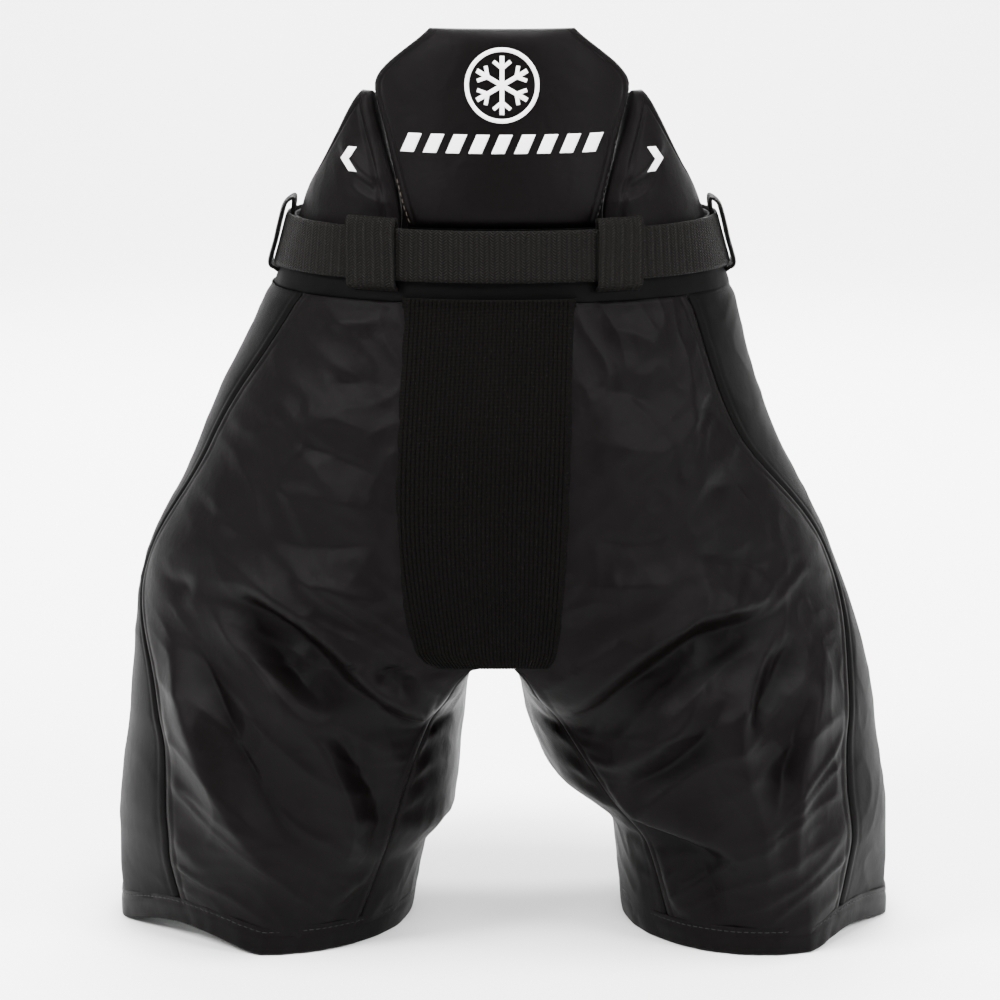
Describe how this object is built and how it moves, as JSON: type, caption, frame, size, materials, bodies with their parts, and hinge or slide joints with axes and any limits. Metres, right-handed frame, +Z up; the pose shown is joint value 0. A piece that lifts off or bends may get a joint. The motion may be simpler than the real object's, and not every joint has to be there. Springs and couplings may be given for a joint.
{
  "type": "hockey pants",
  "caption": "Padded ice-hockey pants with a raised back pad, webbing belt, ribbed seat panel and hinged legs.",
  "frame": {"origin": "centre of the bounding box at floor level, between the leg hems", "axes": "+Z up, +X the wearer's right, +Y the front of the garment"},
  "size_m": [0.3992, 0.2093, 0.46],
  "materials": {
    "nylon": "satin woven nylon",
    "stretch_knit": "matte ribbed knit",
    "webbing": "woven webbing",
    "hem_tape": "folded tape",
    "mesh_lining": "matte tricot",
    "foam": "closed-cell foam",
    "plate": "moulded",
    "print_white": "flat print",
    "buckle_plastic": "moulded",
    "steel": "bright",
    "hook_loop": "hook and loop"
  },
  "bodies": {
    "waist": {"waistband": "nylon", "belt_webbing": "webbing", "belt_tail": "webbing", "buckle_frame": "buckle_plastic", "buckle_pin": "steel", "lumbar_pad": "foam", "seat_stretch_panel": "stretch_knit", "crotch_gusset": "nylon", "hip_lining": "mesh_lining", "tailbone_plate": "plate", "tailbone_foam": "foam", "fly_underlap": "nylon", "loop_tape": "hook_loop", "belt_loop_back_left": "webbing", "belt_loop_side_left": "webbing", "belt_loop_front_left": "webbing", "kidney_pad_cover_left": "nylon", "kidney_pad_plate_left": "plate", "kidney_pad_foam_left": "foam", "kidney_chevron_left": "print_white", "hip_plate_left": "plate", "hip_foam_left": "foam", "belt_loop_back_right": "webbing", "belt_loop_side_right": "webbing", "belt_loop_front_right": "webbing", "kidney_pad_cover_right": "nylon", "kidney_pad_plate_right": "plate", "kidney_pad_foam_right": "foam", "kidney_chevron_right": "print_white", "hip_plate_right": "plate", "hip_foam_right": "foam"},
    "spine_pad": {"spine_pad_cover": "nylon", "spine_pad_plate": "plate", "spine_pad_foam": "foam", "spine_emblem": "print_white", "spine_stripe": "print_white"},
    "leg_left": {"back_panel_left": "nylon", "side_panel_left": "nylon", "front_panel_left": "nylon", "inner_thigh_panel_left": "nylon", "hem_band_left": "nylon", "hem_facing_left": "hem_tape", "leg_lining_left": "mesh_lining", "thigh_plate_left": "plate", "thigh_foam_left": "foam"},
    "leg_right": {"back_panel_right": "nylon", "side_panel_right": "nylon", "front_panel_right": "nylon", "inner_thigh_panel_right": "nylon", "hem_band_right": "nylon", "hem_facing_right": "hem_tape", "leg_lining_right": "mesh_lining", "thigh_plate_right": "plate", "thigh_foam_right": "foam"},
    "buckle_lever": {"buckle_lever": "buckle_plastic"},
    "belt_keeper": {"belt_keeper": "webbing"},
    "fly_flap": {"fly_flap": "nylon", "hook_tape": "hook_loop"}
  },
  "joints": [
    {"name": "hip_left", "type": "hinge", "parent": "waist", "child": "leg_left", "pos_m": [-0.1, 0, 0.195], "axis": [1, 0, 0], "range_deg": [-12, 35], "deforming": ["back_panel_left", "side_panel_left", "front_panel_left", "inner_thigh_panel_left"]},
    {"name": "hip_right", "type": "hinge", "parent": "waist", "child": "leg_right", "pos_m": [0.1, 0, 0.195], "axis": [1, 0, 0], "range_deg": [-12, 35], "deforming": ["back_panel_right", "side_panel_right", "front_panel_right", "inner_thigh_panel_right"]},
    {"name": "spine_pad_flex", "type": "hinge", "parent": "waist", "child": "spine_pad", "pos_m": [0, -0.079, 0.3664], "axis": [1, 0, 0], "range_deg": [-3, 13], "stiffness_Nm_per_rad": 1.5},
    {"name": "buckle_lever_turn", "type": "hinge", "parent": "waist", "child": "buckle_lever", "pos_m": [0.009, 0.0936, 0.3505], "axis": [0, 0, -1], "range_deg": [0, 100]},
    {"name": "keeper_slide", "type": "hinge", "parent": "waist", "child": "belt_keeper", "pos_m": [0, -0.063, 0.3505], "axis": [0, 0, 1], "range_deg": [-2.5, 2.5]},
    {"name": "fly_flap_open", "type": "hinge", "parent": "waist", "child": "fly_flap", "pos_m": [0.022, 0.1, 0.277], "axis": [0, 0.1761, -0.9844], "range_deg": [0, 100]}
  ]
}
